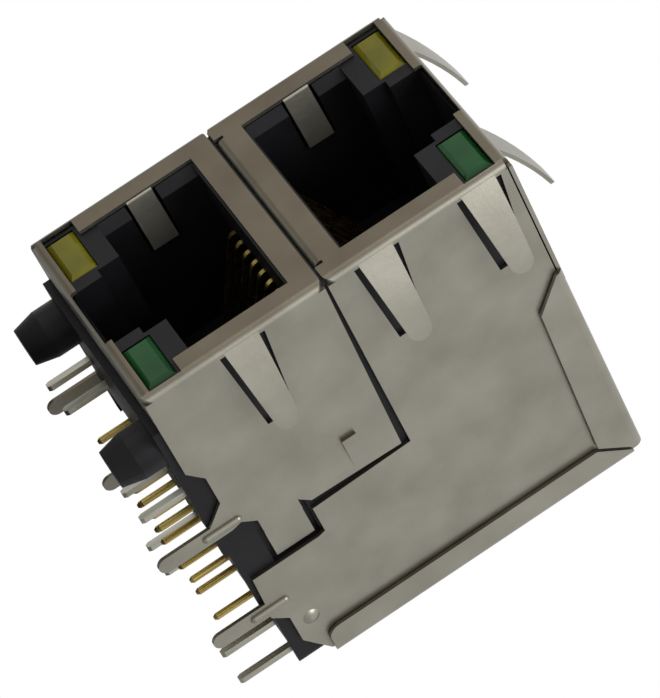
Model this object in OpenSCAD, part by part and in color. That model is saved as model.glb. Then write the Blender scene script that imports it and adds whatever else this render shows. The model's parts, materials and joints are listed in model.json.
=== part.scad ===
// Shielded two-port stacked RJ45 board jack with indicator lights and built-in transformers.
// Millimetres. X runs across the ports, Y towards the back, Z up from the board.
// Pieces are drawn with Y from the front face, then set down with the posts' middle at the origin.
// Both ports are drawn away from the plane between them, so the lower one is the upper one mirrored.

/* [Overall] */
// Width over the side panels
shield_w = 16.3; // [16.1:0.1:16.8]
// Depth from the front face to the outside of the back plate
shield_d = 27.8; // [27.7:0.1:29]
// Height of the top sheet above the board
shield_top = 25.98; // [25.9:0.02:26.4]
// Height of the shield's lower edge above the board
shield_base = 0.5; // [0.45:0.05:0.55]
// Height of the plane midway between the ports
mid_z = 13.2; // [13.1:0.05:13.3]

/* [Shield sheet] */
// Thickness of the shield sheet
sheet = 0.25; // [0.2:0.01:0.28]
// Outer radius of the folds
fold_r = 0.5; // [0.4:0.05:0.55]
// Gap between the shields and the housing
shield_gap = 0.05; // [0.03:0.01:0.07]
// Corner radius of the front faces
corner_r = 0.6; // [0.3:0.1:0.7]
// Distance from the middle plane to the lower shield's top edge
seam_below = 0.25; // [0.2:0.05:0.3]
// Extra gap at the back end of the seam
seam_taper = 0.35; // [0.2:0.05:0.5]
// Distance from the middle plane to the upper shield's bottom edge
seam_above = 0.05; // [0:0.05:0.1]
// How far the seam lip and the bottom flange reach back
flange_reach = 2; // [1.5:0.1:2.5]
// Width of the relief slits beside the seam lip
relief_w = 0.25; // [0.2:0.05:0.3]

/* [Face openings] */
// Half the width of each port opening in the shield
open_x = 6.55; // [6.5:0.05:6.65]
// Port opening, near edge from the middle plane
open_near = 1.8; // [1.7:0.05:1.9]
// Port opening, far edge from the middle plane
open_far = 9.8; // [9.7:0.05:9.9]
// Half the width of the pair of light windows
window_x = 7.75; // [7.6:0.05:7.8]
// Light windows, far edge from the middle plane
window_far = 12; // [11.95:0.01:12.1]
// Half the width of the latch cut in the shield's face
latch_cut_x = 2.5; // [2.4:0.05:2.6]

/* [Ports] */
// Half the width of the plug cavity
cavity_x = 5.9; // [5.88:0.01:5.95]
// Plug cavity, near wall from the middle plane
cavity_near = 1.95; // [1.9:0.01:2]
// Plug cavity, far wall from the middle plane
cavity_far = 8.7; // [8.6:0.05:8.8]
// Depth of the plug cavity from the front face
cavity_d = 11.9; // [11.6:0.1:12.1]
// Size of the lead-in chamfer at the cavity's mouth
mouth_chamfer = 0.6; // [0.4:0.1:0.8]
// Half the width of the latch channel
latch_x = 3.25; // [3.1:0.05:3.3]
// Latch channel, far wall from the middle plane
latch_far = 10.25; // [10.2:0.01:10.3]
// Half the width of the finger slot
finger_x = 2.6; // [2.6:0.01:2.7]
// Finger slot, far wall from the middle plane
finger_far = 12.25; // [12.2:0.01:12.3]
// Depth of the finger slot from the front face
finger_d = 6.5; // [6:0.1:7]
// Thickness of the wall behind the plug cavity
back_wall = 0.8; // [0.7:0.05:0.9]

/* [Housing] */
// Thickness of the side walls behind the ports
side_wall = 0.65; // [0.6:0.01:0.68]
// Thickness of the top wall behind the ports
top_wall = 1; // [0.9:0.05:1.05]
// Where the full-height board seat starts, from the front face
seat_front = 3.2; // [3:0.1:3.4]
// Where the full-height board seat ends
seat_back = 15.5; // [15:0.1:16]
// Height of the side walls' lower edge behind the seat
rail_z = 0.3; // [0.2:0.05:0.4]
// Where the side walls step up again
rail_back = 22.3; // [22:0.1:23]
// Height of the lower edge at the back corners
corner_z = 0.65; // [0.6:0.05:0.7]
// Height of the front edge above the bottom flange
front_z = 0.8; // [0.8:0.01:0.85]
// Radius of the back corners
back_corner_r = 0.5; // [0.3:0.1:0.6]
// Chamfer along the edges inside the shield's folds
edge_chamfer = 0.25; // [0.2:0.05:0.3]

/* [Board posts] */
// Radius of the posts
post_r = 1.6; // [1.5:0.01:1.62]
// Half the distance between the posts
post_x = 6.2; // [6.15:0.01:6.23]
// Distance of the posts from the front face
post_y = 5.3; // [5.1:0.1:5.5]
// Length of the straight part of the posts
post_straight = 1.5; // [1.3:0.1:1.8]
// Length of the tapered tip
post_tip = 1.5; // [1.2:0.1:1.7]
// Radius at the end of the tip
post_tip_r = 1.25; // [1.1:0.05:1.3]

/* [Indicator lights] */
// Half the distance between the lights of one port
light_x = 5.45; // [5.43:0.01:5.47]
// Width of a light
light_w = 3.7; // [3.6:0.05:3.72]
// Height of a light
light_h = 1.86; // [1.8:0.02:1.88]
// Centre of the lights from the middle plane
light_off = 11; // [10.99:0.01:11.02]
// Set-back of the lens from the front face
light_front = 0.1; // [0.05:0.05:0.2]
// Where the light body ends
light_back = 7.2; // [7:0.1:7.4]
// Clearance around a light in its pocket
light_gap = 0.05; // [0.03:0.01:0.06]
// Bevel around the lens
lens_bevel = 0.3; // [0.2:0.05:0.4]
// Spacing of a light's two leads
lead_pitch = 2.54; // [2.5:0.01:2.56]
// Thickness of the square leads
lead_t = 0.45; // [0.4:0.01:0.48]
// Where the lower lights' leads turn down
lead_y_lower = 9.75; // [9.6:0.05:9.9]
// Where the upper lights' leads turn down
lead_y_upper = 26.8; // [26.7:0.05:26.9]
// How far the leads reach below the board's top
lead_below = 3.1; // [3:0.05:3.3]
// Clearance around leads, pins and wires where they pass through
pass_gap = 0.05; // [0.03:0.01:0.07]

/* [Contacts] */
// Spacing of the eight contact wires
contact_pitch = 1.02; // [1:0.01:1.03]
// Width and thickness of a contact wire
wire_t = 0.3; // [0.26:0.01:0.34]
// Distance of the wires' straight part from the middle plane
wire_off = 1.4; // [1.38:0.01:1.42]
// Radius of the bend at the front of a wire
wire_r = 0.55; // [0.5:0.01:0.58]
// Where the bend is centred, from the front face
wire_bend_y = 4.9; // [4.8:0.05:5]
// Angle of the sprung end below the straight part
wire_angle = 25; // [23:1:26]
// Length of the sprung end
wire_spring = 6.2; // [5.8:0.1:6.3]
// How far a wire goes through its circuit board
wire_through = 0.5; // [0.3:0.1:0.6]

/* [Carriers] */
// Half the width of the contact carriers and the ground plate's carrier slot
carrier_x = 6.4; // [6.3:0.05:6.45]
// Front end of the carriers
carrier_front = 3.7; // [3.6:0.05:3.8]
// Distance of the carriers' outer faces from the middle plane
carrier_off = 1.6; // [1.58:0.01:1.62]
// Thickness of the ground plate between the carriers
plate_t = 0.25; // [0.2:0.01:0.28]
// Half the width of the ground plate
plate_x = 6; // [5.8:0.1:6.2]
// Clearance around the carriers
carrier_gap = 0.05; // [0.03:0.01:0.06]

/* [Circuit boards] */
// Thickness of the circuit boards
board_t = 0.8; // [0.7:0.05:0.85]
// Half the width of the circuit boards
board_x = 6.4; // [6.2:0.05:6.5]
// Middle of the lower port's board from the front face
board_y_lower = 14.5; // [14.45:0.05:14.55]
// Middle of the upper port's board from the front face
board_y_upper = 21.24; // [21.2:0.02:21.3]
// Height of the upper port's board
board_top = 22.5; // [22:0.1:23]

/* [Signal pins] */
// Radius of the round signal pins
pin_r = 0.23; // [0.2:0.01:0.24]
// Spacing of the pins in a row
pin_pitch = 2.54; // [2.5:0.01:2.56]
// Distance of each row from its circuit board's middle
row_off = 1.32; // [1.3:0.01:1.34]
// How far the pins reach below the board's top
pin_below = 2.35; // [2.3:0.05:2.6]
// Length of the rounded pin tip
pin_tip = 0.2; // [0.15:0.01:0.2]
// Height of the pins' short legs into the circuit boards
leg_z = 3.2; // [3.1:0.05:3.4]
// Lower face of the pin base
base_z = 0.75; // [0.7:0.05:0.8]
// Thickness of the pin base
base_t = 1.45; // [1.4:0.05:1.5]

/* [Wound cores] */
// Outer radius of a core
core_r = 2.1; // [1.9:0.05:2.15]
// Hole radius of a core
core_hole_r = 1; // [0.9:0.05:1.1]
// Thickness of a core
core_t = 1.8; // [1.6:0.1:2]
// Half the distance between the two cores on a board
core_x = 3.2; // [3.1:0.05:3.4]
// Number of turns on a core
core_turns = 9; // [6:1:10]
// Thickness of the winding
winding_t = 0.2; // [0.15:0.01:0.22]
// Height of the lower board's cores
core_z_lower = 7.8; // [7.6:0.1:8]
// Height of the upper board's cores
core_z_upper = 18.4; // [18.2:0.1:18.8]

/* [Spring fingers] */
// Half the finger window's width at the fold
slot_half = 1.55; // [1.45:0.05:1.6]
// Half the finger window's width at its end
slot_half_end = 0.95; // [0.9:0.05:1]
// Where the finger windows end, from the front face
slot_end = 7.4; // [7.2:0.1:7.6]
// Half a finger's width at the fold
finger_half = 1.22; // [1.15:0.01:1.25]
// Half a finger's width at its tip
finger_half_end = 0.78; // [0.7:0.01:0.8]
// Radius of a finger's outward curve
finger_curve = 21; // [20:0.5:23]
// Slope of a finger at the fold
finger_slope = 31; // [28:1:32]
// Slope of a finger at its tip
finger_slope_end = 14; // [13:1:16]
// Middle of the lower shield's side finger below the middle plane
finger_lower = 6.05; // [5.9:0.05:6.2]
// Middle of the upper shield's first side finger above the middle plane
finger_upper = 3.25; // [3.15:0.05:3.35]
// Middle of the upper shield's second side finger above the middle plane
finger_top = 10.4; // [10.3:0.05:10.45]
// Middle of the top fingers from the centre line
finger_side = 5.4; // [5.3:0.05:5.5]

/* [Ground springs] */
// Ground springs in the ports, near edge from the middle plane
tab_near = 4.75; // [4.65:0.05:4.85]
// Height of a ground spring
tab_h = 1.75; // [1.6:0.05:1.8]
// Thickness of a ground spring
tab_t = 0.2; // [0.18:0.01:0.2]
// Outer radius of a ground spring's fold
tab_fold_r = 0.4; // [0.36:0.01:0.42]
// Slope of a ground spring into the port
tab_angle = 15; // [13:1:16]
// Length of a ground spring
tab_len = 3.6; // [3.2:0.1:3.8]
// Clearance around a ground spring in the housing
tab_gap = 0.2; // [0.15:0.05:0.25]

/* [Lower side panels] */
// Back edge of the lower side panels
low_back = 15.25; // [15.1:0.05:15.35]
// Where the notch behind the front edge starts
low_notch_y = 7.1; // [6.9:0.1:7.3]
// Length of the notch
low_notch_l = 5.1; // [5:0.05:5.2]
// Height of the notch
low_notch_h = 0.9; // [0.7:0.05:1]
// Width of the ground tails
tail_w = 1.2; // [1.1:0.05:1.25]
// How far the lower shield's tails reach below the board's top
low_tail_below = 3.75; // [3.6:0.05:3.9]
// Height of the recess behind the lower tails
low_recess_h = 2.3; // [2.2:0.05:2.4]
// Length of the recess behind the lower tails
low_recess_l = 0.5; // [0.4:0.05:0.6]
// Height of the tuck-in tabs
tuck_h = 2.7; // [2.6:0.05:2.8]
// Back end of the tuck-in tabs
tuck_back = 17.8; // [17.6:0.05:17.9]
// Where the tuck-in tabs step inward
tuck_step_y = 15.2; // [15:0.05:15.3]
// How far the tuck-in tabs step inward
tuck_in = 0.3; // [0.28:0.01:0.35]
// Front end of the lanced catch
catch_y = 12; // [11.8:0.1:12.2]
// Length of the lanced catch
catch_l = 2.8; // [2.6:0.1:3]
// Height of the lanced catch's lower edge
catch_z = 9.45; // [9.3:0.05:9.6]
// Width of the lanced catch
catch_w = 1; // [0.9:0.05:1.1]
// How far the lanced catch stands out
catch_out = 0.25; // [0.2:0.05:0.3]

/* [Upper side panels] */
// Gap between the lower panel's back edge and the upper panel
panel_gap = 0.5; // [0.4:0.05:0.6]
// Height of the upper panel's step
step_z = 6; // [5.9:0.05:6.1]
// Gap between the tuck-in tab and the upper panel
tuck_gap = 0.35; // [0.3:0.05:0.4]
// Height of the upper panel's lower edge
panel_z = 0.7; // [0.65:0.05:0.75]
// Middle of the upper shield's tails from the front face
up_tail_y = 21.2; // [21:0.1:21.4]
// How far the upper shield's tails reach below the board's top
up_tail_below = 3.35; // [3.2:0.05:3.5]
// Height of the notch behind the upper tails
up_notch_z = 1.48; // [1.4:0.02:1.6]
// Where the panel's back corner starts to slope
slope_y = 25.35; // [25.2:0.05:25.5]
// Height at which the slope meets the back
slope_z = 2.85; // [2.75:0.05:3]
// Place of the round bump along the panel
bump_y = 23.9; // [23.7:0.1:24.1]
// Height of the round bump
bump_z = 2.65; // [2.5:0.05:2.8]
// Radius of the round bump's ball
bump_r = 0.9; // [0.8:0.05:1]
// How far the round bump stands out
bump_out = 0.2; // [0.15:0.01:0.25]
// Radius of the stiffening ribs at the tails
rib_r = 0.28; // [0.25:0.01:0.3]
// Length of the stiffening ribs
rib_l = 2.2; // [2:0.1:2.4]

/* [Top and back cover] */
// Gap between the side panels and the cover's flanges
cover_gap = 0.1; // [0.08:0.01:0.12]
// Gap between the side panels' top edges and the top sheet
sheet_gap = 0.1; // [0.09:0.01:0.12]
// Where the top flanges start
flange_y = 10.1; // [9.9:0.1:10.3]
// Length of the slope at the front of the top flanges
flange_slope = 2.3; // [2.1:0.1:2.5]
// Depth of the top flanges
flange_h = 2.8; // [2.6:0.05:3]
// Depth of the back flanges
back_flange = 2.2; // [2.1:0.05:2.3]
// Height of the back flanges' lower edge
back_flange_z = 3; // [2.95:0.05:3.1]
// Gap in the mitre between the top and back flanges
mitre_gap = 0.15; // [0.1:0.05:0.2]
// Height of the back plate's middle
back_plate_z = 1; // [0.9:0.05:1.1]
// Half the width of the back plate's middle
back_plate_x = 6.5; // [6.3:0.1:6.7]

/* [Hidden] */
half_w = shield_w / 2;
inner_x = half_w - sheet;
body_x = inner_x - shield_gap;
body_front = sheet + shield_gap;
body_back = shield_d - sheet - shield_gap;
body_top = shield_top - sheet - shield_gap;
low_top = mid_z - seam_below;
up_bottom = mid_z - seam_above;
panel_top = shield_top - sheet - sheet_gap;
panel_back = shield_d - sheet - sheet_gap;
room_front = cavity_d + back_wall;
room_x = body_x - side_wall;
room_top = body_top - top_wall;
base_top = base_z + base_t;
base_x = room_x - carrier_gap;
lower_board_top = mid_z - plate_t / 2 - 2 * carrier_gap;
flange_x = half_w + cover_gap + sheet;
tail_y = low_notch_y + low_notch_l + tail_w / 2;
tab_room = tab_gap + tab_fold_r;
round_fn = 48;
wire_fn = 32;
cut = 1;
steel = "#9a9885";
black = "#1b1b1e";
gold = "#b59a4a";
tin = "#a9a899";

// ---- placing ----

// Sets a piece down in the part's frame.
module placed() {
    translate([0, -post_y, 0]) children();
}

// The upper port's place, drawn away from the middle plane.
module upper_port() {
    translate([0, 0, mid_z]) children();
}

// The lower port's place, which is the upper one mirrored.
module lower_port() {
    translate([0, 0, mid_z]) mirror([0, 0, 1]) children();
}

module both_ports() {
    upper_port() children();
    lower_port() children();
}

module both_sides() {
    children();
    mirror([1, 0, 0]) children();
}

// An outline in Y and Z, swept along X.
module along_x(x0, x1) {
    translate([x0, 0, 0]) rotate([90, 0, 90]) linear_extrude(x1 - x0) children();
}

// An outline in X and Z, swept along Y.
module along_y(y0, y1) {
    translate([0, y1, 0]) rotate([90, 0, 0]) linear_extrude(y1 - y0) children();
}

// An outline in X and Y, swept along Z.
module along_z(z0, z1) {
    translate([0, 0, z0]) linear_extrude(z1 - z0) children();
}

// A block from one corner to the other.
module block(a, b) {
    translate(a) cube(b - a);
}

// A quarter of a ring in the plane, open towards +X and +Y from its centre.
module quarter_ring(r, t) {
    intersection() {
        difference() {
            circle(r, $fn = round_fn);
            circle(r - t, $fn = round_fn);
        }
        square(r + cut);
    }
}

// ---- housing ----

module port_hollow() {
    mouth = [
        [-cavity_x - mouth_chamfer, 0], [cavity_x + mouth_chamfer, 0],
        [cavity_x + mouth_chamfer, body_front], [cavity_x, body_front + mouth_chamfer],
        [cavity_x, cavity_d], [-cavity_x, cavity_d], [-cavity_x, body_front + mouth_chamfer],
        [-cavity_x - mouth_chamfer, body_front]
    ];
    along_z(cavity_near, cavity_far) polygon(mouth);
    block([-latch_x, 0, cavity_far - cut], [latch_x, cavity_d, latch_far]);
    block([-finger_x, 0, latch_far - cut], [finger_x, finger_d, finger_far]);
    block(
        [-contact_row_x(), wire_bend_y - wire_r - wire_t, 0],
        [contact_row_x(), cavity_d, cavity_near + cut]
    );
    both_sides() block(
        [cavity_x - cut, 0, tab_near - tab_gap],
        [open_x + tab_room, tab_len + tab_room, tab_near + tab_h + tab_gap]
    );
    both_sides() translate([light_x, 0, light_off]) block(
        [-light_w / 2 - light_gap, 0, -light_h / 2 - light_gap],
        [light_w / 2 + light_gap, light_back + light_gap, light_h / 2 + light_gap]
    );
}

function contact_row_x() = 3.5 * contact_pitch + wire_t;

// Slots that let the lights' leads drop in from outside.
module lead_slots(y1) {
    half = lead_t / 2 + pass_gap;
    for (x = lead_places()) block(
        [x - half, light_back - light_gap, light_off - half],
        [x + half, y1 + half, mid_z + cut]
    );
}

function lead_places() = [
    -light_x - lead_pitch / 2, -light_x + lead_pitch / 2,
    light_x - lead_pitch / 2, light_x + lead_pitch / 2
];

module post() {
    translate([0, 0, -post_straight]) cylinder(r = post_r, h = post_straight + cut, $fn = round_fn);
    translate([0, 0, -post_straight - post_tip])
        cylinder(r1 = post_tip_r, r2 = post_r, h = post_tip, $fn = round_fn);
}

// The housing's plan, x being half its width, with small chamfers in front and round corners behind.
module body_plan(x) {
    r = back_corner_r;
    polygon([
        [-x, body_front + edge_chamfer], [-x + edge_chamfer, body_front], [x - edge_chamfer, body_front],
        [x, body_front + edge_chamfer], [x, body_back - r], [x - r, body_back - r], [x - r, body_back],
        [-x + r, body_back], [-x + r, body_back - r], [-x, body_back - r]
    ]);
    both_sides() translate([x - r, body_back - r]) circle(r, $fn = round_fn);
}

module housing() color(black) {
    underside = [
        [body_front, front_z + edge_chamfer], [body_front + edge_chamfer, front_z],
        [seat_front, front_z], [seat_front, 0], [seat_back, 0],
        [seat_back, rail_z], [rail_back, rail_z], [rail_back, corner_z], [body_back, corner_z],
        [body_back, body_top - edge_chamfer], [body_back - edge_chamfer, body_top],
        [body_front + edge_chamfer, body_top], [body_front, body_top - edge_chamfer]
    ];
    difference() {
        intersection() {
            along_x(-body_x, body_x) polygon(underside);
            along_z(-cut, shield_top) body_plan(body_x);
        }
        both_ports() port_hollow();
        // carriers' pocket between the ports
        block(
            [-carrier_x - carrier_gap, carrier_front - carrier_gap, mid_z - carrier_off - carrier_gap],
            [carrier_x + carrier_gap, room_front + cut, mid_z + carrier_off + carrier_gap]
        );
        // slot for the seam lip
        block(
            [-open_x, 0, up_bottom - shield_gap],
            [open_x, fold_r + flange_reach, up_bottom + fold_r + shield_gap]
        );
        // room for the circuit boards, open below and behind
        block([-room_x, room_front, -cut], [room_x, shield_d, room_top]);
        lower_port() lead_slots(lead_y_lower);
        upper_port() lead_slots(room_front);
        // the tuck-in tabs step inward here
        both_sides() block(
            [body_x - tuck_in - shield_gap, tuck_step_y - tuck_gap, tuck_low() - tuck_gap],
            [half_w, tuck_back + tuck_gap, tuck_low() + tuck_h + tuck_gap]
        );
    }
    both_sides() translate([post_x, post_y, 0]) post();
}

function tuck_low() = shield_base + low_recess_h;

// ---- indicator lights ----

// One light at its port, drawn away from the middle plane.
module light() {
    side = [
        [light_front + lens_bevel, -light_h / 2], [light_back, -light_h / 2],
        [light_back, light_h / 2], [light_front + lens_bevel, light_h / 2],
        [light_front, light_h / 2 - lens_bevel], [light_front, -light_h / 2 + lens_bevel]
    ];
    plan = [
        [-light_w / 2, light_front + lens_bevel], [-light_w / 2 + lens_bevel, light_front],
        [light_w / 2 - lens_bevel, light_front], [light_w / 2, light_front + lens_bevel],
        [light_w / 2, light_back], [-light_w / 2, light_back]
    ];
    translate([0, 0, light_off]) intersection() {
        along_x(-light_w / 2, light_w / 2) polygon(side);
        along_z(-light_h / 2, light_h / 2) polygon(plan);
    }
}

module lens_lower_left() color("#787314") lower_port() translate([-light_x, 0, 0]) light();

module lens_lower_right() color("#23552d") lower_port() translate([light_x, 0, 0]) light();

module lens_upper_left() color("#787314") upper_port() translate([-light_x, 0, 0]) light();

module lens_upper_right() color("#23552d") upper_port() translate([light_x, 0, 0]) light();

// A square lead from the back of a light to y, then down through the board.
module lead(x, y, z) {
    half = lead_t / 2;
    block([x - half, light_back, z - half], [x + half, y + half, z + half]);
    block([x - half, y - half, -lead_below + half], [x + half, y + half, z + half]);
    point = [
        [-half, half], [-half / 2, 0], [half / 2, 0], [half, half]
    ];
    translate([x, 0, -lead_below]) along_y(y - half, y + half) polygon(point);
}

module lead_lower(i) color(tin) lead(lead_places()[i - 1], lead_y_lower, mid_z - light_off);

module lead_upper(i) color(tin) lead(lead_places()[i - 1], lead_y_upper, mid_z + light_off);

// ---- contacts and what carries them ----

// A contact wire's outline in Y and height: straight back part, bend, sprung end.
module wire_outline(y_back) {
    turn = 155 + wire_angle - 25;
    half = wire_t / 2;
    bend_h = wire_off + wire_r;
    translate([wire_bend_y, wire_off - half]) square([y_back - wire_bend_y, wire_t]);
    translate([wire_bend_y, bend_h]) {
        difference() {
            circle(wire_r + half, $fn = wire_fn);
            circle(wire_r - half, $fn = wire_fn);
            // keep the front of the ring, from the straight part to the sprung end
            translate([0, -2]) square([2, 2]);
            rotate(90 - wire_angle) translate([0, -3]) square([3, 3]);
        }
        rotate(wire_angle) translate([0, wire_r - half]) square([wire_spring, wire_t]);
    }
}

module contact(i, y_back) {
    x = (i - 4.5) * contact_pitch;
    along_x(x - wire_t / 2, x + wire_t / 2) wire_outline(y_back);
}

module contact_lower(i) color(gold)
    lower_port() contact(i, board_y_lower + board_t / 2 + wire_through);

module contact_upper(i) color(gold)
    upper_port() contact(i, board_y_upper + board_t / 2 + wire_through);

// A carrier with a groove for each wire, drawn away from the middle plane.
module carrier(y_back) {
    half = wire_t / 2 + pass_gap;
    difference() {
        block([-carrier_x, carrier_front, plate_t / 2 + carrier_gap], [carrier_x, y_back, carrier_off]);
        for (i = [1 : 8]) translate([(i - 4.5) * contact_pitch, 0, 0]) block(
            [-half, wire_bend_y - wire_r - half - pass_gap, wire_off - half],
            [half, y_back + cut, wire_off + cut]
        );
    }
}

module carrier_lower() color("#26262a")
    lower_port() carrier(board_y_lower - board_t / 2 - carrier_gap);

module carrier_upper() color("#26262a")
    upper_port() carrier(board_y_upper - board_t / 2 - carrier_gap);

module ground_plate() color(steel) block(
    [-plate_x, carrier_front, mid_z - plate_t / 2],
    [plate_x, board_y_upper - board_t / 2 - carrier_gap, mid_z + plate_t / 2]
);

// ---- circuit boards, cores and signal pins ----

function row_a() = [for (i = [-1.5 : 1 : 1.5]) i * pin_pitch];

function row_b() = [for (i = [-2 : 2]) i * pin_pitch];

module board(y, top) {
    gap_r = pin_r + pass_gap;
    half = wire_t / 2 + pass_gap;
    difference() {
        block([-board_x, y - board_t / 2, base_top], [board_x, y + board_t / 2, top]);
        for (x = concat(row_a(), row_b())) translate([x, y, leg_z]) rotate([90, 0, 0])
            cylinder(r = gap_r, h = board_t + cut, center = true, $fn = wire_fn);
        for (i = [1 : 8], s = [-1, 1]) translate([(i - 4.5) * contact_pitch, y, mid_z + s * wire_off])
            cube([2 * half, board_t + cut, 2 * half], center = true);
    }
}

module board_lower() color("#2f5a3a") board(board_y_lower, lower_board_top);

module board_upper() color("#2f5a3a") difference() {
    board(board_y_upper, board_top);
}

// A round pin with a short leg into the board at board_y.
module pin(x, y, board_y) {
    away = sign(board_y - y);
    leg = abs(board_y - y) + board_t / 2;
    translate([x, y, -pin_below + pin_tip]) cylinder(r = pin_r, h = leg_z + pin_below - pin_tip, $fn = wire_fn);
    translate([x, y, -pin_below]) cylinder(r1 = pin_r / 2, r2 = pin_r, h = pin_tip, $fn = wire_fn);
    translate([x, y, leg_z]) sphere(r = pin_r, $fn = wire_fn);
    translate([x, y, leg_z]) rotate([-90 * away, 0, 0]) cylinder(r = pin_r, h = leg, $fn = wire_fn);
}

module pin_group(i, board_y) {
    if (i <= 4) pin(row_a()[i - 1], board_y - row_off, board_y);
    else pin(row_b()[i - 5], board_y + row_off, board_y);
}

module pin_lower(i) color(gold) pin_group(i, board_y_lower);

module pin_upper(i) color(gold) pin_group(i, board_y_upper);

module pin_base() color("#202023") {
    lead_half = lead_t / 2 + pass_gap;
    difference() {
        block([-base_x, room_front + carrier_gap, base_z], [base_x, body_back, base_top]);
        for (board_y = [board_y_lower, board_y_upper]) {
            for (x = row_a()) translate([x, board_y - row_off, 0])
                cylinder(r = pin_r + pass_gap, h = base_top + cut, $fn = wire_fn);
            for (x = row_b()) translate([x, board_y + row_off, 0])
                cylinder(r = pin_r + pass_gap, h = base_top + cut, $fn = wire_fn);
        }
        for (x = lead_places()) block(
            [x - lead_half, lead_y_upper - lead_half, 0],
            [x + lead_half, lead_y_upper + lead_half, base_top + cut]
        );
    }
}

// A ring core with separate turns, its axis along Y.
module core() {
    rotate([90, 0, 0]) {
        difference() {
            cylinder(r = core_r, h = core_t, center = true, $fn = round_fn);
            cylinder(r = core_hole_r, h = core_t + cut, center = true, $fn = round_fn);
        }
        for (i = [0 : core_turns - 1]) rotate(360 * i / core_turns) block(
            [core_hole_r - winding_t, -winding_t, -core_t / 2 - winding_t],
            [core_r + winding_t, winding_t, core_t / 2 + winding_t]
        );
    }
}

core_depth = board_t / 2 + core_t / 2 + winding_t;

module core_at(i) color("#3a3634") {
    side = i % 2 == 1 ? -core_x : core_x;
    if (i <= 2) translate([side, board_y_lower + core_depth, core_z_lower]) core();
    else translate([side, board_y_upper - core_depth, core_z_upper]) core();
}

// ---- shields ----

// The shield's plan: front face and two side walls with rounded folds.
module wrap_plan(x, front, r, back) {
    translate([-x + r, front]) square([2 * (x - r), back - front]);
    translate([-x, front + r]) square([2 * x, back - front - r]);
    for (s = [-1, 1]) translate([s * (x - r), front + r]) circle(r, $fn = round_fn);
}

module wrap(z0, z1, back) {
    along_z(z0, z1) difference() {
        wrap_plan(half_w, 0, fold_r, back);
        wrap_plan(inner_x, sheet, fold_r - sheet, back + cut);
    }
}

// What to cut from a shield's face for one port, drawn away from the middle plane.
module face_cut(edge) {
    half = [
        [0, open_near], [open_x, open_near], [open_x, open_far], [window_x, open_far],
        [window_x, window_far], [latch_cut_x, window_far], [latch_cut_x, edge], [0, edge]
    ];
    along_y(-cut, fold_r) both_sides() polygon(half);
}

// Cuts that round a face's outer corners at height z, above it or below it.
module corner_cut(z, above) {
    both_sides() along_y(-cut, fold_r) translate([half_w, z]) mirror([0, above ? 0 : 1])
        translate([-corner_r, -corner_r]) difference() {
            square(corner_r + cut);
            circle(corner_r, $fn = round_fn);
        }
}

// A fold along X from the front face at height z to a level sheet that ends at y1.
module level_fold(x0, x1, z, y1) {
    along_x(x0, x1) {
        translate([fold_r, z + fold_r]) rotate(180) quarter_ring(fold_r, sheet);
        translate([fold_r, z]) square([y1 - fold_r, sheet]);
    }
}

// A ground spring folded from the opening's edge into the port, on the +X side.
module ground_spring() {
    along_z(tab_near, tab_near + tab_h) mirror([1, 0]) translate([-open_x - tab_fold_r + 0.1, 0]) {
        translate([-tab_fold_r, 0]) square([tab_fold_r, tab_t]);
        translate([0, tab_fold_r]) {
            difference() {
                circle(tab_fold_r, $fn = wire_fn);
                circle(tab_fold_r - tab_t, $fn = wire_fn);
                translate([-cut, -cut]) square([cut, 2 * cut]);
                rotate(-tab_angle) square(cut);
                translate([0, 0]) square(cut);
            }
            rotate(-tab_angle) translate([tab_fold_r - tab_t, 0]) square([tab_t, tab_len]);
        }
    }
}

// A spring finger: X runs back from the face, Y outward from the panel, Z across the finger.
module spring_finger() {
    span = finger_curve + cut;
    start = [fold_r - 0.05, -sheet / 2];
    centre = start + finger_curve * [sin(finger_slope), -cos(finger_slope)];
    tip_s = centre[0] - finger_curve * sin(finger_slope_end) - finger_half_end;
    intersection() {
        along_z(-slot_half, slot_half) translate(centre) difference() {
            circle(finger_curve + sheet / 2, $fn = 4 * round_fn);
            circle(finger_curve - sheet / 2, $fn = 4 * round_fn);
            rotate(90 + finger_slope) square(2 * span);
            translate([-2 * span, -2 * span]) square([4 * span, 2 * span]);
        }
        along_y(-slot_end, slot_end) {
            polygon([
                [0, -finger_half], [tip_s, -finger_half_end], [tip_s, finger_half_end], [0, finger_half]
            ]);
            translate([tip_s, 0]) circle(finger_half_end, $fn = wire_fn);
        }
    }
}

// The window that a spring finger is cut from, in the same place.
module finger_window() {
    along_y(-cut, cut) polygon([
        [fold_r + 0.1, -slot_half], [slot_end, -slot_half_end], [slot_end, slot_half_end],
        [fold_r + 0.1, slot_half]
    ]);
}

// Puts a finger or its window on the +X side panel at height z.
module on_side(z) {
    translate([half_w, 0, z]) mirror([1, 0, 0]) rotate([0, 0, 90]) children();
}

// Puts a finger or its window on the top sheet at x.
module on_top(x) {
    translate([x, 0, shield_top]) rotate([90, 0, 90]) children();
}

// A tail's outline in Y and Z, from height top down to its rounded end.
module tail_outline(y, top, below) {
    translate([y - tail_w / 2, -below + tail_w / 2]) square([tail_w, top + below - tail_w / 2]);
    translate([y, -below + tail_w / 2]) circle(tail_w / 2, $fn = wire_fn);
}

module tail_rib(y, z) {
    intersection() {
        translate([half_w - 0.05, y, z]) {
            cylinder(r = rib_r, h = rib_l, center = true, $fn = wire_fn);
            for (s = [-1, 1]) translate([0, 0, s * rib_l / 2]) sphere(r = rib_r, $fn = wire_fn);
        }
        block([inner_x + 0.05, y - cut, z - rib_l], [half_w + cut, y + cut, z + rib_l]);
    }
}

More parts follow.
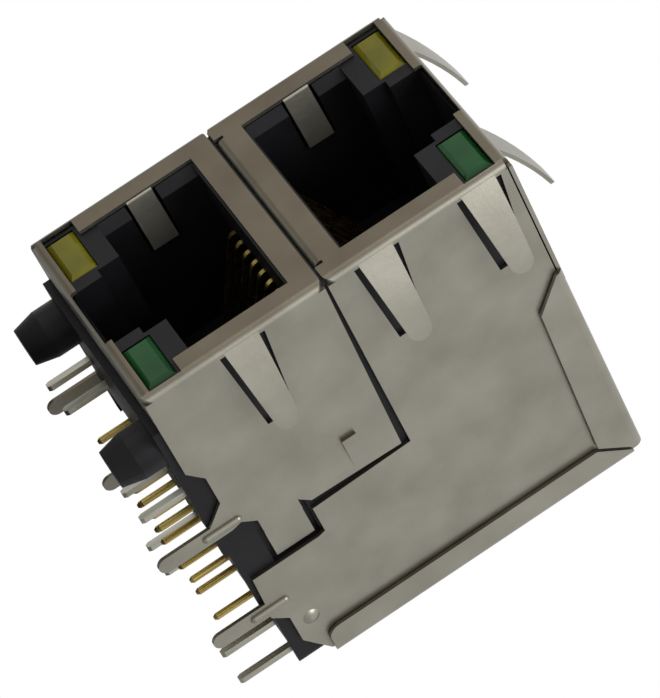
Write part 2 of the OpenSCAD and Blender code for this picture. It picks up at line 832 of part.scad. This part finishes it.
// The lower side panel, in Y and Z.
module low_panel_outline() {
    notch = low_notch_y + low_notch_l;
    recess = tail_y + tail_w / 2;
    polygon([
        [-cut, shield_base], [low_notch_y, shield_base],
        [low_notch_y + 1.2, shield_base + low_notch_h], [notch - 1.4, shield_base + low_notch_h],
        [notch, shield_base - 0.4], [recess, shield_base - 0.4], [recess, shield_base + 0.7],
        [recess - 0.2, shield_base + 1.4], [recess + low_recess_l, tuck_low()],
        [tuck_step_y, tuck_low()], [tuck_step_y, tuck_low() + tuck_h],
        [recess + low_recess_l + 0.4, tuck_low() + tuck_h],
        [low_back - 0.2, tuck_low() + tuck_h + 0.7], [low_back, low_top - seam_taper],
        [fold_r, low_top], [-cut, low_top]
    ]);
    tail_outline(tail_y, shield_base, low_tail_below);
}

// The tab that steps inward behind the lower panel, in X and Y.
module tuck_tab() {
    in0 = half_w - sheet;
    in1 = in0 - tuck_in;
    along_z(tuck_low(), tuck_low() + tuck_h) polygon([
        [in0, tuck_step_y - sheet], [half_w, tuck_step_y - sheet], [half_w, tuck_step_y],
        [in1 + sheet, tuck_step_y + tuck_in], [in1 + sheet, tuck_back], [in1, tuck_back],
        [in1, tuck_step_y + tuck_in], [in0, tuck_step_y]
    ]);
}

// The catch lanced outward from the lower panel, in X and Y.
module lanced_catch() {
    along_z(catch_z, catch_z + catch_w) polygon([
        [half_w - sheet / 2, catch_y], [half_w + catch_out, catch_y], [half_w + catch_out, catch_y + 0.4],
        [half_w, catch_y + catch_l], [half_w - sheet / 2, catch_y + catch_l]
    ]);
}

module lower_shield() color(steel) {
    difference() {
        union() {
            intersection() {
                wrap(-low_tail_below, low_top, low_back);
                along_x(-shield_w, shield_w) {
                    low_panel_outline();
                }
            }
            level_fold(-window_x + 0.1, window_x - 0.1, shield_base, fold_r + flange_reach);
        }
        lower_port() face_cut(mid_z - shield_base - sheet);
        corner_cut(low_top, true);
        corner_cut(shield_base, false);
        // the face below the fold's start gives way to the fold
        difference() {
            block([-window_x, -cut, -cut], [window_x, fold_r, shield_base + fold_r]);
            along_x(-shield_w, shield_w) translate([fold_r, shield_base + fold_r]) circle(fold_r, $fn = round_fn);
        }
        both_sides() on_side(mid_z - finger_lower) finger_window();
    }
    both_sides() {
        on_side(mid_z - finger_lower) spring_finger();
        lower_port() ground_spring();
        tuck_tab();
        lanced_catch();
        tail_rib(tail_y, shield_base + 0.2);
    }
}

// The upper side panel, in Y and Z.
module up_panel_outline() {
    y0 = low_back + panel_gap;
    y1 = tuck_back + tuck_gap;
    tail0 = up_tail_y - tail_w / 2;
    tail1 = up_tail_y + tail_w / 2;
    polygon([
        [-cut, up_bottom], [y0 - 0.2, up_bottom], [y0, step_z], [y1 - 0.15, step_z], [y1, step_z - 0.5],
        [y1, panel_z], [tail0, panel_z - 0.1], [tail0, -0.4], [tail1, -0.4], [tail1, panel_z - 0.2],
        [tail1 + 0.2, panel_z - 0.2], [tail1 + 1.1, up_notch_z], [slope_y, up_notch_z],
        [panel_back, slope_z], [panel_back, panel_top], [-cut, panel_top]
    ]);
    tail_outline(up_tail_y, 0, up_tail_below);
}

// A sheet folded over two parallel edges, its flanges reaching from the fold down to zero.
module folded_sheet(half, height) {
    difference() {
        arch(half, height, fold_r);
        translate([0, -cut]) arch(half - sheet, height - sheet + cut, fold_r - sheet);
    }
}

module arch(half, height, r) {
    translate([-half, 0]) square([2 * half, height - r]);
    translate([-half + r, 0]) square([2 * (half - r), height]);
    for (s = [-1, 1]) translate([s * (half - r), height - r]) circle(r, $fn = round_fn);
}

// What is left of the top sheet's side flanges, in Y and Z.
module top_flange_outline() {
    low = shield_top - flange_h;
    end = shield_d - fold_r - mitre_gap;
    polygon([
        [flange_y, shield_top - fold_r], [flange_y + flange_slope, low + 0.4],
        [shield_d - back_flange - 0.2, low], [end, shield_top - fold_r - mitre_gap],
        [end, shield_top + cut], [flange_y, shield_top + cut]
    ]);
}

// What is left of the back plate's side flanges, in Y and Z.
module back_flange_outline() {
    front = shield_d - back_flange;
    corner = 0.8;
    polygon([
        [front + corner, back_flange_z], [shield_d + cut, back_flange_z],
        [shield_d + cut, shield_top - fold_r - 2 * mitre_gap], [shield_d - fold_r, shield_top - fold_r - 2 * mitre_gap],
        [front, shield_top - flange_h - mitre_gap], [front, back_flange_z + corner]
    ]);
    translate([front + corner, back_flange_z + corner]) circle(corner, $fn = wire_fn);
}

// Top sheet, back plate and the flanges around the side panels.
module cover() {
    fold_x = flange_x - fold_r;
    block([-half_w, fold_r, shield_top - sheet], [half_w, flange_y + cut, shield_top]);
    intersection() {
        along_y(flange_y, shield_d) folded_sheet(flange_x, shield_top);
        along_x(-shield_w, shield_w) top_flange_outline();
    }
    block([-fold_x, flange_y, shield_top - sheet], [fold_x, shield_d - fold_r, shield_top]);
    along_x(-fold_x, fold_x) translate([shield_d - fold_r, shield_top - fold_r]) quarter_ring(fold_r, sheet);
    block([-fold_x, shield_d - sheet, back_flange_z], [fold_x, shield_d, shield_top - fold_r]);
    block([-back_plate_x, shield_d - sheet, back_plate_z], [back_plate_x, shield_d, back_flange_z + cut]);
    intersection() {
        along_z(back_flange_z, shield_top) folded_sheet(flange_x, shield_d);
        along_x(-shield_w, shield_w) back_flange_outline();
    }
}

// A shallow dome pressed outward from the side panel.
module round_bump() {
    translate([half_w - sheet / 2, bump_y, bump_z]) rotate([0, 90, 0]) rotate_extrude($fn = round_fn)
        intersection() {
            translate([0, bump_out + sheet / 2 - bump_r]) circle(bump_r, $fn = round_fn);
            square(bump_r);
        }
}

module upper_shield() color(steel) {
    lip_x = open_x - 0.05;
    top_fold_x = window_x - 0.1;
    difference() {
        union() {
            intersection() {
                wrap(-up_tail_below, panel_top, panel_back);
                along_x(-shield_w, shield_w) up_panel_outline();
            }
            // fold from the face into the top sheet
            along_x(-top_fold_x, top_fold_x) translate([fold_r, shield_top - fold_r])
                mirror([1, 0]) quarter_ring(fold_r, sheet);
            cover();
            level_fold(-lip_x, lip_x, up_bottom, fold_r + flange_reach - shield_gap);
        }
        upper_port() face_cut(shield_top - mid_z - sheet);
        corner_cut(shield_top, true);
        corner_cut(up_bottom, false);
        // the face gives way to the top fold and to the seam lip
        difference() {
            block([-top_fold_x, -cut, shield_top - fold_r], [top_fold_x, fold_r, shield_top + cut]);
            along_x(-shield_w, shield_w) translate([fold_r, shield_top - fold_r]) circle(fold_r, $fn = round_fn);
        }
        difference() {
            block([-lip_x, -cut, up_bottom - cut], [lip_x, fold_r, up_bottom + fold_r]);
            along_x(-shield_w, shield_w) translate([fold_r, up_bottom + fold_r]) circle(fold_r, $fn = round_fn);
        }
        // relief slits beside the lip
        both_sides() block(
            [lip_x, -cut, up_bottom - cut], [lip_x + relief_w, fold_r + cut, up_bottom + fold_r + 0.1]
        );
        both_sides() {
            on_side(mid_z + finger_upper) finger_window();
            on_side(mid_z + finger_top) finger_window();
            on_top(finger_side) finger_window();
        }
    }
    both_sides() {
        on_side(mid_z + finger_upper) spring_finger();
        on_side(mid_z + finger_top) spring_finger();
        on_top(finger_side) spring_finger();
        upper_port() ground_spring();
        tail_rib(up_tail_y, shield_base + 0.2);
        round_bump();
    }
}

placed() housing();
placed() pin_base();
placed() lower_shield();
placed() upper_shield();
placed() ground_plate();
placed() carrier_lower();
placed() carrier_upper();
placed() board_lower();
placed() board_upper();
placed() lens_lower_left();
placed() lens_lower_right();
placed() lens_upper_left();
placed() lens_upper_right();
for (i = [1 : 4]) placed() core_at(i);
for (i = [1 : 4]) placed() lead_lower(i);
for (i = [1 : 4]) placed() lead_upper(i);
for (i = [1 : 8]) placed() contact_lower(i);
for (i = [1 : 8]) placed() contact_upper(i);
for (i = [1 : 9]) placed() pin_lower(i);
for (i = [1 : 9]) placed() pin_upper(i);
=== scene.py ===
import json
import math

import bpy
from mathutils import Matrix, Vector

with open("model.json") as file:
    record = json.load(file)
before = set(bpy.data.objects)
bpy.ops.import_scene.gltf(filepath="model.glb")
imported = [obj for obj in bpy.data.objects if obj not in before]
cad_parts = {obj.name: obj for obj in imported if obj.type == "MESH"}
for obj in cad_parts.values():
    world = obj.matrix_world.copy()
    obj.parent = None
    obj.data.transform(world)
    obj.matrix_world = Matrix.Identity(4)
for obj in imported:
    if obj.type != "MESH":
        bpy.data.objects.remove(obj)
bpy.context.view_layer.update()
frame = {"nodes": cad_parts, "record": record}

mm = 0.001
white = (1, 1, 1, 1)
bumpDepth = 0.02 * mm  # how deep the fine bump of every surface goes

# sockets of a colour mix node, which share their names
mixFactor, mixFirst, mixSecond, mixResult = 0, 6, 7, 2

print("frame loaded:", len(frame["nodes"]), "nodes")


# ---- small helpers ----

def put(tree, kind, **settings):
    node = tree.nodes.new(kind)
    for name, value in settings.items():
        setattr(node, name, value)
    return node


def setInput(node, name, value):
    node.inputs[name].default_value = value


def linkUp(tree, fromNode, fromSocket, toNode, toSocket):
    tree.links.new(fromNode.outputs[fromSocket], toNode.inputs[toSocket])


def feed(tree, socket, value):
    """Links a (node, output) pair into the socket, or sets a plain value."""
    if isinstance(value, tuple) and isinstance(value[0], bpy.types.Node):
        node, output = value
        tree.links.new(node.outputs[output], socket)
    else:
        socket.default_value = value


def newMaterial(name):
    material = bpy.data.materials.new(name)
    material.use_nodes = True
    tree = material.node_tree
    shader = tree.nodes["Principled BSDF"]
    return material, tree, shader


def noiseTexture(tree, coords, scale, detail, stretch=(1, 1, 1), roughness=0.5):
    mapping = put(tree, "ShaderNodeMapping")
    setInput(mapping, "Scale", stretch)
    linkUp(tree, coords, "Object", mapping, "Vector")
    noise = put(tree, "ShaderNodeTexNoise")
    setInput(noise, "Scale", scale)
    setInput(noise, "Detail", detail)
    setInput(noise, "Roughness", roughness)
    linkUp(tree, mapping, "Vector", noise, "Vector")
    return noise


def twoTone(tree, noise, low, high, start=0.3, end=0.7):
    """Turns a noise into a colour between low and high."""
    ramp = put(tree, "ShaderNodeValToRGB")
    stops = ((start, low), (end, high))
    for element, (place, colour) in zip(ramp.color_ramp.elements, stops):
        element.position = place
        element.color = (*colour, 1)
    linkUp(tree, noise, "Fac", ramp, "Fac")
    return ramp


def mixColour(tree, factor, first, second, blend="MIX"):
    mix = put(tree, "ShaderNodeMix", data_type="RGBA", blend_type=blend)
    for index, value in ((mixFactor, factor), (mixFirst, first), (mixSecond, second)):
        feed(tree, mix.inputs[index], value)
    return mix


def mathNode(tree, operation, *values):
    node = put(tree, "ShaderNodeMath", operation=operation)
    for socket, value in zip(node.inputs, values):
        feed(tree, socket, value)
    return node


def spreadRoughness(tree, shader, noise, middle, spread):
    """Lets the roughness follow a noise, with middle at the noise's middle."""
    rough = mathNode(tree, "MULTIPLY_ADD", (noise, "Fac"), spread, middle - spread / 2)
    linkUp(tree, rough, "Value", shader, "Roughness")


def addBump(tree, shader, height, socket, strength):
    bump = put(tree, "ShaderNodeBump")
    setInput(bump, "Strength", strength)
    setInput(bump, "Distance", bumpDepth)
    linkUp(tree, height, socket, bump, "Height")
    linkUp(tree, bump, "Normal", shader, "Normal")


def mottled(name, noise, low, high, bump, inputs):
    """A material whose colour and bump follow one noise."""
    material, tree, shader = newMaterial(name)
    coords = put(tree, "ShaderNodeTexCoord")
    mottle = noiseTexture(tree, coords, **noise)
    colour = twoTone(tree, mottle, low, high)
    linkUp(tree, colour, "Color", shader, "Base Color")
    for inputName, value in inputs.items():
        setInput(shader, inputName, value)
    addBump(tree, shader, mottle, "Fac", bump)
    return material


# ---- materials ----

def shieldMetal():
    look = {
        "plain": (0.30, 0.29, 0.245), "dull": (0.235, 0.222, 0.185),
        # painted shade: the tint below darkens and browns faces turned to the front
        "frontShadeTint": (0.5, 0.44, 0.38, 1), "metallic": 0.9,
        "roughness": 0.36, "roughnessSpread": 0.14,
        "bump": 0.35, "speckleShare": 0.5,
    }
    # how far a face's normal has to point to the front to take the painted shade tint
    frontness = {"From Min": -0.6, "From Max": -0.97, "To Min": 0.0, "To Max": 1.0}
    material, tree, shader = newMaterial("shieldMetal")
    coords = put(tree, "ShaderNodeTexCoord")
    grain = noiseTexture(
        tree, coords, scale=1400, detail=4, stretch=(1, 1, 0.04), roughness=0.6)
    blotch = noiseTexture(tree, coords, scale=260, detail=5)
    speckle = noiseTexture(tree, coords, scale=4200, detail=3)
    colour = twoTone(tree, blotch, look["dull"], look["plain"])

    # painted shade: faces turned to the front are painted darker and browner
    surface = put(tree, "ShaderNodeNewGeometry")
    axes = put(tree, "ShaderNodeSeparateXYZ")
    linkUp(tree, surface, "Normal", axes, "Vector")
    frontShadeMask = put(tree, "ShaderNodeMapRange", clamp=True)
    for name, value in frontness.items():
        setInput(frontShadeMask, name, value)
    linkUp(tree, axes, "Y", frontShadeMask, "Value")
    # painted shade: front faces take a darker, browner copy of the metal colour
    frontShadedColour = mixColour(tree, 1.0, (colour, "Color"), look["frontShadeTint"], "MULTIPLY")
    paintedShadeMixOrMaterial = mixColour(tree, (frontShadeMask, "Result"), (colour, "Color"), (frontShadedColour, mixResult))
    linkUp(tree, paintedShadeMixOrMaterial, mixResult, shader, "Base Color")

    setInput(shader, "Metallic", look["metallic"])
    spreadRoughness(tree, shader, speckle, look["roughness"], look["roughnessSpread"])
    height = mathNode(
        tree, "MULTIPLY_ADD", (speckle, "Fac"), look["speckleShare"], (grain, "Fac"))
    addBump(tree, shader, height, "Value", look["bump"])
    return material


def blackPlastic():
    look = {
        "low": (0.005, 0.005, 0.006), "high": (0.010, 0.010, 0.012), "rampStart": 0.35,
        "specular": 0.18, "roughness": 0.46, "roughnessSpread": 0.2, "bump": 0.25,
    }
    material, tree, shader = newMaterial("blackPlastic")
    coords = put(tree, "ShaderNodeTexCoord")
    fine = noiseTexture(tree, coords, scale=3000, detail=4)
    broad = noiseTexture(tree, coords, scale=240, detail=3)
    colour = twoTone(tree, broad, look["low"], look["high"], start=look["rampStart"])
    linkUp(tree, colour, "Color", shader, "Base Color")
    setInput(shader, "Specular IOR Level", look["specular"])
    spreadRoughness(tree, shader, fine, look["roughness"], look["roughnessSpread"])
    addBump(tree, shader, fine, "Fac", look["bump"])
    return material


def innerPlastic():
    return mottled(
        "innerPlastic", {"scale": 2600, "detail": 3},
        low=(0.006, 0.006, 0.007), high=(0.012, 0.012, 0.014), bump=0.2,
        inputs={"Roughness": 0.5, "Specular IOR Level": 0.15})


def lightResin(name, deep, clear):
    return mottled(
        name, {"scale": 500, "detail": 3}, low=deep, high=clear, bump=0.05,
        inputs={
            "Roughness": 0.16, "Specular IOR Level": 0.25,
            "Transmission Weight": 0.08, "IOR": 1.5,
        })


def platedWire(name, low, high, roughness):
    look = {"metallic": 1.0, "roughnessDrop": 0.07, "roughnessSpread": 0.15, "bump": 0.2}
    material, tree, shader = newMaterial(name)
    coords = put(tree, "ShaderNodeTexCoord")
    # the streaks run along the wire's upright stretch
    streak = noiseTexture(tree, coords, scale=1500, detail=3, stretch=(1, 1, 0.12))
    colour = twoTone(tree, streak, low, high)
    linkUp(tree, colour, "Color", shader, "Base Color")
    setInput(shader, "Metallic", look["metallic"])
    lowest = roughness - look["roughnessDrop"]
    rough = mathNode(
        tree, "MULTIPLY_ADD", (streak, "Fac"), look["roughnessSpread"], lowest)
    linkUp(tree, rough, "Value", shader, "Roughness")
    addBump(tree, shader, streak, "Fac", look["bump"])
    return material


def boardLaminate():
    return mottled(
        "boardLaminate", {"scale": 900, "detail": 2},
        low=(0.012, 0.06, 0.022), high=(0.02, 0.10, 0.035), bump=0.1,
        inputs={"Roughness": 0.35})


def woundCore():
    return mottled(
        "woundCore", {"scale": 2200, "detail": 4},
        low=(0.03, 0.025, 0.02), high=(0.12, 0.06, 0.03), bump=0.2,
        inputs={"Roughness": 0.45})


finishes = {
    "shield": shieldMetal(),
    "housing": blackPlastic(),
    "inner_plastic": innerPlastic(),
    "lens_yellow": lightResin("yellowResin", (0.12, 0.11, 0.003), (0.2, 0.18, 0.006)),
    "lens_green": lightResin("greenResin", (0.006, 0.06, 0.012), (0.012, 0.095, 0.022)),
    "gold": platedWire("goldPlate", (0.34, 0.25, 0.07), (0.5, 0.38, 0.13), 0.28),
    "tinned": platedWire("tinPlate", (0.3, 0.29, 0.24), (0.48, 0.47, 0.41), 0.3),
    "circuit_board": boardLaminate(),
    "wound_core": woundCore(),
}
slotOf = {s["node"]: s["material_slot"] for s in frame["record"]["subparts"]}
for nodeName, part in frame["nodes"].items():
    paintedShadeMixOrMaterial = finishes[slotOf[nodeName]]
    for materialSlot in part.material_slots:
        materialSlot.material = paintedShadeMixOrMaterial
    if not part.material_slots:
        part.data.materials.append(paintedShadeMixOrMaterial)
print("materials made:", len(finishes))


# ---- floor, light and camera ----

def makeFloor():
    floorLook = {
        "height": -3.75 * mm, "half": 1.5, "colour": (0.86, 0.86, 0.85), "roughness": 0.8,
    }
    bpy.ops.mesh.primitive_plane_add(size=2 * floorLook["half"])
    floor = bpy.context.object
    floor.name = "floor"
    for corner in floor.data.vertices:
        corner.co.z = floorLook["height"]
    material, tree, shader = newMaterial("paleFloor")
    setInput(shader, "Base Color", (*floorLook["colour"], 1))
    setInput(shader, "Roughness", floorLook["roughness"])
    # seen from below, the floor lets the view through
    geometry = put(tree, "ShaderNodeNewGeometry")
    path = put(tree, "ShaderNodeLightPath")
    fromBelow = mathNode(tree, "MULTIPLY", (geometry, "Backfacing"), (path, "Is Camera Ray"))
    clear = put(tree, "ShaderNodeBsdfTransparent")
    mix = put(tree, "ShaderNodeMixShader")
    linkUp(tree, fromBelow, "Value", mix, 0)
    linkUp(tree, shader, "BSDF", mix, 1)
    linkUp(tree, clear, "BSDF", mix, 2)
    linkUp(tree, mix, "Shader", tree.nodes["Material Output"], "Surface")
    floor.data.materials.append(material)


def makeWorld():
    """Soft light on matt surfaces, and plain white where the world itself is seen."""
    worldLook = {"ambient": 0.4, "background": 1.0}
    world = bpy.data.worlds.new("studio")
    bpy.context.scene.world = world
    world.use_nodes = True
    tree = world.node_tree
    soft = tree.nodes["Background"]
    setInput(soft, "Color", white)
    setInput(soft, "Strength", worldLook["ambient"])
    bright = put(tree, "ShaderNodeBackground")
    setInput(bright, "Color", white)
    setInput(bright, "Strength", worldLook["background"])
    path = put(tree, "ShaderNodeLightPath")
    direct = mathNode(
        tree, "MAXIMUM", (path, "Is Camera Ray"), (path, "Is Transmission Ray"))
    seen = mathNode(tree, "MAXIMUM", (direct, "Value"), (path, "Is Glossy Ray"))
    mix = put(tree, "ShaderNodeMixShader")
    linkUp(tree, seen, "Value", mix, 0)
    linkUp(tree, soft, "Background", mix, 1)
    linkUp(tree, bright, "Background", mix, 2)
    linkUp(tree, mix, "Shader", tree.nodes["World Output"], "Surface")


def makeLamp(name, place, target, size, power):
    data = bpy.data.lights.new(name, "AREA")
    data.shape = "RECTANGLE"
    data.size, data.size_y = size
    data.energy = power
    lamp = bpy.data.objects.new(name, data)
    lamp.location = place
    aim = Vector(target) - Vector(place)
    lamp.rotation_euler = aim.to_track_quat("-Z", "Y").to_euler()
    bpy.context.collection.objects.link(lamp)


def makeCamera():
    # place, lens and sensor in mm, turn in degrees, near in metres
    view = {
        "place": (191.64, -194.98, -10.67), "turn": (98.546, -56.199, 36.196),
        "lens": 237.26, "sensor": 36, "near": 0.01,
    }
    data = bpy.data.cameras.new("camera")
    data.lens = view["lens"]
    data.sensor_width = view["sensor"]
    data.clip_start = view["near"]
    camera = bpy.data.objects.new("camera", data)
    camera.location = [v * mm for v in view["place"]]
    camera.rotation_euler = [math.radians(a) for a in view["turn"]]
    bpy.context.collection.objects.link(camera)
    bpy.context.scene.camera = camera


makeFloor()
makeWorld()
middle = (0, 0.008, 0.012)  # what both lamps point at, in metres
makeLamp("keyLamp", place=(0.35, -0.1, 0.25), target=middle, size=(0.25, 0.25), power=1.2)
makeLamp("frontLamp", place=(-0.1, -0.4, 0.1), target=middle, size=(0.3, 0.2), power=0.25)
makeCamera()
bpy.context.scene.view_settings.view_transform = "Standard"
print("floor, light and camera made")
